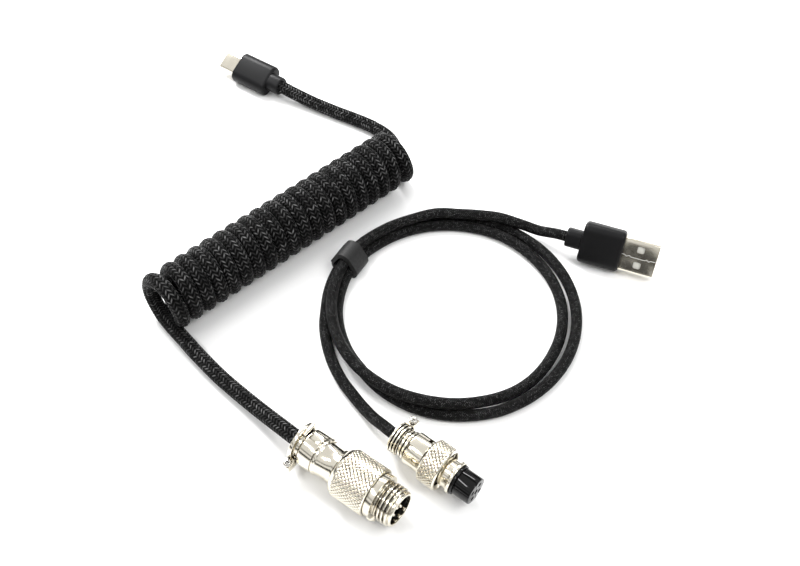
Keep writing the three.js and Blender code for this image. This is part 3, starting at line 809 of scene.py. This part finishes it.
def usb_a():
    body, place = "straight_cable", "usb_a"
    front, tip = 20.1, 32.1
    shell = hollow((12.0, 4.5), 0.6, 0.35, 13.8, tip, 0.24)
    window = moved(bar((2.4, 2.5), 0.6, [(-5, 0), (5, 0)]), Matrix.Rotation(math.pi / 2, 4, "X"))
    windows = [moved(window, Matrix.Translation((x, front + 5.9, 0))) for x in (-2.85, 2.85)]
    shell = carved(shell, *windows)
    path = [(0.0, front - 0.5), (0.0, front + 1.0), (0.5, front + 1.6), (-0.1, front + 2.6),
            (0.35, front + 3.1), (0.35, front + 8.0), (-0.15, front + 8.6), (0.5, front + 9.4),
            (0.0, front + 10.0), (0.0, tip - 0.2)]
    seam = []
    for a, b in zip(path, path[1:]):
        stitch = block((0.2, math.dist(a, b) + 0.12, 0.1), (0, 0, 0), 0.03)
        halfway = Matrix.Translation(((a[0] + b[0]) / 2, (a[1] + b[1]) / 2, 2.26))
        seam.append(moved(stitch, halfway @ Matrix.Rotation(math.atan2(a[0] - b[0], b[1] - a[1]), 4, "Z")))
    piece("usb_a_drawn_shell", shell, "nickel", place, body, ["usb_a_shell"])
    piece("usb_a_seam", joined(*seam), "white_plastic", place, body)
    stations = rounded_ends(5.5, front, 1.3)
    mould = carved(bar((14.6, 7.6), 2.7, stations), bar((12.6, 5.1), 0.9, [(10.6, 0), (22, 0)]))
    piece("usb_a_overmould", mould, "black_plastic", place, body, ["usb_a_body"])
    neck = bar((6.6, 6.0), 2.2, [(0.0, 0.45), (0.12, 0.2), (0.4, 0.05), (0.8, 0.0), (5.6, 0.0)])
    neck = carved(neck, rod(LOOP["cable"] / 2 + 0.02, -1, 0.9, 48))
    piece("usb_a_neck", neck, "black_plastic", place, body, ["usb_a_strain_relief"])


# ---- the strap --------------------------------------------------------------------------------------------


def strap():
    """A woven band pulled round the three strands, its end lying over itself on top."""
    r = LOOP["cable"] / 2 + STRAP["slack"]
    low, high = LOOP["cable"] / 2 + STRAP_LIFT, ON_TOP + STRAP_LIFT
    strands = [(LOOP["outer"], low), (LOOP["inner"], low), (LOOP["upper"], high)]
    middle = np.mean([s[0] for s in strands]), np.mean([s[1] for s in strands])

    def outline(grow):
        """The envelope of the lines that touch the strands' pile, moved outwards."""
        step = 2 * math.pi / STRAP_FACETS
        away = [np.array((math.cos(k * step), math.sin(k * step))) for k in range(STRAP_FACETS)]
        reach = [max(np.dot(np.array(s) - middle, d) for s in strands) + r + grow for d in away]
        hull = []
        for k, d in enumerate(away):
            slope = (reach[(k + 1) % STRAP_FACETS] - reach[k - 1]) / (2 * step)
            hull.append(np.array(middle) + d * reach[k] + np.array((-d[1], d[0])) * slope)
        return np.array(hull)

    def band(inner, outer, half, keep):
        """A band between two outlines, rounded at its edges; keep is the part of the outline it covers."""
        rings = []
        flat = half - STRAP["edge"]
        for k in keep:
            a, b = inner[k], outer[k]
            rings.append([(a[0], -half, a[1]), (b[0], -flat, b[1]), (b[0], flat, b[1]), (a[0], half, a[1])])
        return loft(rings, closed=len(keep) == STRAP_FACETS)

    base, skin = outline(0.0), outline(STRAP["thick"])
    top = outline(STRAP["thick"] + STRAP["end_thick"])
    whole = band(base, skin, STRAP["width"] / 2, range(STRAP_FACETS))
    flap = band(skin, top, STRAP["width"] / 2 - 0.25, range(*STRAP_END))
    place = (Matrix.Translation(spot(*LOOP["centre"])) @ Matrix.Rotation(math.radians(STRAP["angle"]), 4, "Z")
             @ Matrix.Scale(MM, 4))
    piece("woven_strap", joined(whole, flap), "strap_cloth", place, "straight_cable", ["cable_strap"],
          smooth=50)


# ---- floor and light -----------------------------------------------------------------------------------


def light(name, place, aim, size, power, colour=(1, 1, 1)):
    data = bpy.data.lights.new(name, "AREA")
    data.shape = "RECTANGLE"
    data.size, data.size_y = size
    data.energy, data.color = power, colour
    lamp = bpy.data.objects.new(name, data)
    lamp.location = place
    lamp.rotation_euler = (Vector(aim) - Vector(place)).to_track_quat("-Z", "Y").to_euler()
    bpy.context.collection.objects.link(lamp)


# How bright the room is, from the horizon (0) to straight up (1): a pale far wall, a dark rail, a bright
# wall, a dim gap and the ceiling. The rail and the gap are the dark streaks in the plated pieces.
SKY = [(0.0, 0.85), (0.07, 0.85), (0.11, 0.04), (0.25, 0.045), (0.29, 0.95), (0.42, 1.0), (0.46, 0.3),
       (0.53, 0.3), (0.57, 0.85), (1.0, 0.8)]


def studio():
    n = Nodes("floor")
    n.set(base_color=(0.93, 0.93, 0.925, 1), roughness=0.75)
    half = 12.0
    floor = mesh_object("floor", [(-half, -half, 0), (half, -half, 0), (half, half, 0), (-half, half, 0)],
                        [(0, 1, 2, 3)], n.material, smooth=0)
    light("key", (-0.30, 0.46, 0.55), (0, 0, 0), (0.32, 0.32), 8.5)
    light("fill", (0.35, -0.2, 0.6), (0, 0, 0), (0.3, 0.3), 2.0)
    light("left_strip", (-0.40, -0.18, 0.70), (0, -0.08, 0), (0.34, 0.07), 1.5)
    light("back_strip", (0.15, 0.52, 0.50), (0, -0.08, 0), (0.34, 0.07), 1.5)
    world = bpy.data.worlds.new("studio")
    bpy.context.scene.world = world
    world.use_nodes = True
    tree = world.node_tree
    split = tree.nodes.new("ShaderNodeSeparateXYZ")
    tree.links.new(tree.nodes.new("ShaderNodeTexCoord").outputs["Generated"], split.inputs[0])
    sky = tree.nodes.new("ShaderNodeValToRGB")
    tree.links.new(split.outputs["Z"], sky.inputs["Fac"])
    while len(sky.color_ramp.elements) < len(SKY):
        sky.color_ramp.elements.new(0.5)
    for element, (place, value) in zip(sky.color_ramp.elements, SKY):
        element.position, element.color = place, (value, value, value, 1)
    tree.links.new(sky.outputs["Color"], tree.nodes["Background"].inputs["Color"])
    tree.nodes["Background"].inputs["Strength"].default_value = 1.0
    bpy.context.scene.view_settings.view_transform = "Standard"


camera()
materials()
cables()
dress_nodes()
round_socket()
round_plug()
usb_c()
usb_a()
strap()
studio()
